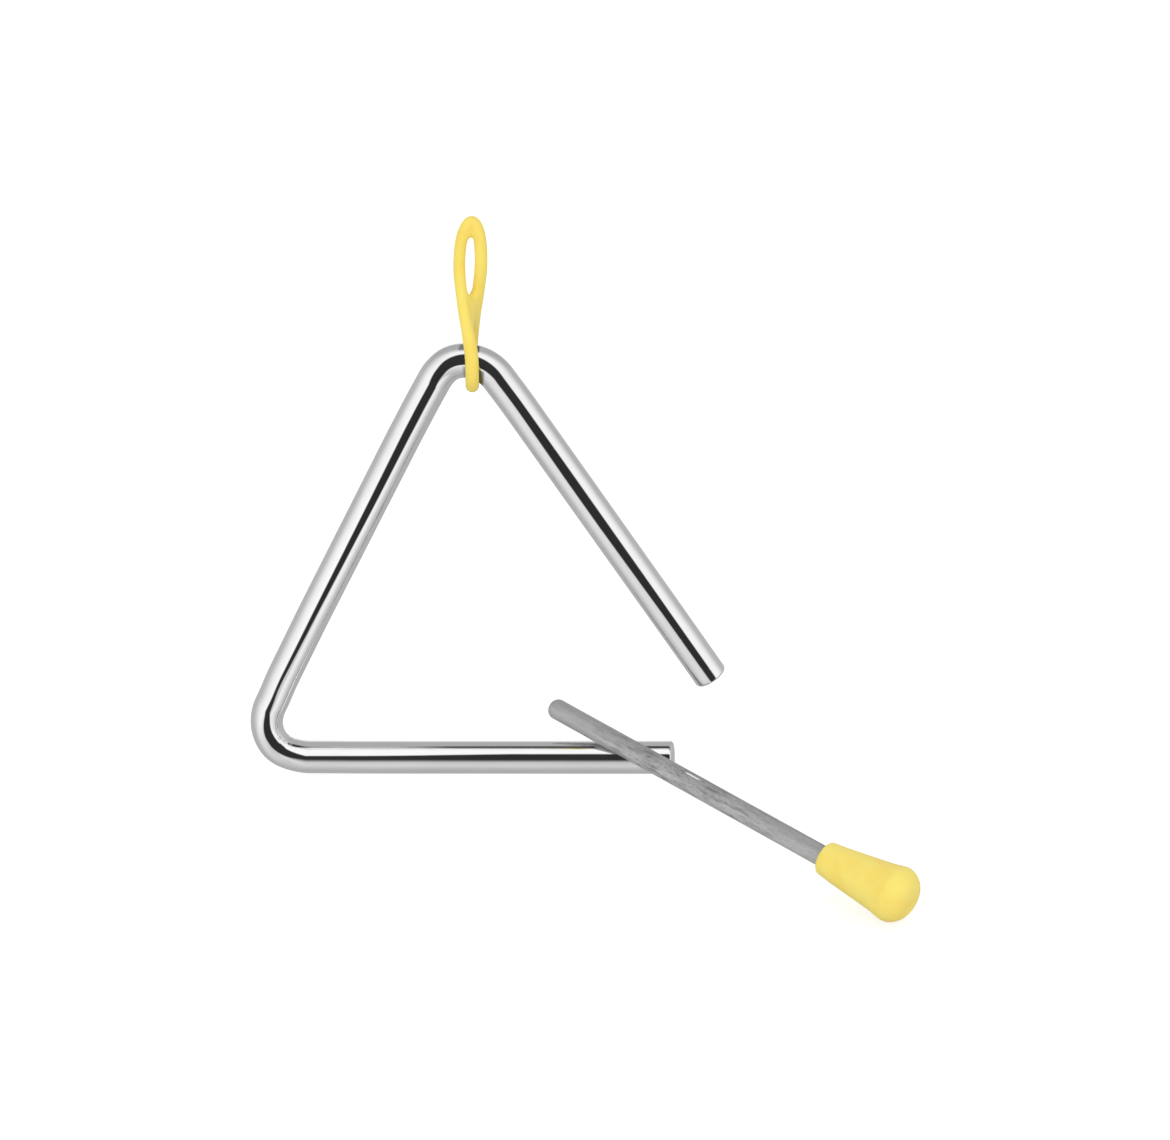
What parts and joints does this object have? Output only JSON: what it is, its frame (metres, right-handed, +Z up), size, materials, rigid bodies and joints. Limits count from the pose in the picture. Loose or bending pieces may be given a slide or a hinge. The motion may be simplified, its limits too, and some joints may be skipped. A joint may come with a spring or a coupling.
{
  "type": "triangle instrument",
  "caption": "Bent round metal bar triangle with one open corner, hung by a soft twisted loop over its upper bend, with a straight striker rod in a flared soft grip.",
  "frame": {"origin": "the point inside the top of the loop's eye, where a hook or a finger carries it", "axes": "+Z up; the bar lies in the XZ plane with its open corner towards +X; the striker's grip points towards +X and -Y"},
  "size_m": [0.1656, 0.0617, 0.1482],
  "materials": {
    "bar": "polished plating",
    "loop": "smooth soft vinyl",
    "rod": "dull zinc, drawn lengthways",
    "grip": "smooth soft vinyl"
  },
  "bodies": {
    "loop": {"hanging_loop": "loop"},
    "triangle": {"triangle_bar": "bar"},
    "striker": {"striker_rod": "rod", "striker_grip": "grip"}
  },
  "joints": [
    {"name": "bar_swing", "type": "hinge", "parent": "loop", "child": "triangle", "pos_m": [0, 0, -0.03175], "axis": [0.989, 0.1478, 0], "continuous": true},
    {"name": "striker_lift", "type": "slide", "parent": "triangle", "child": "striker", "axis": [0, -0.7071, 0.7071], "range_m": [0, 0.12]}
  ]
}
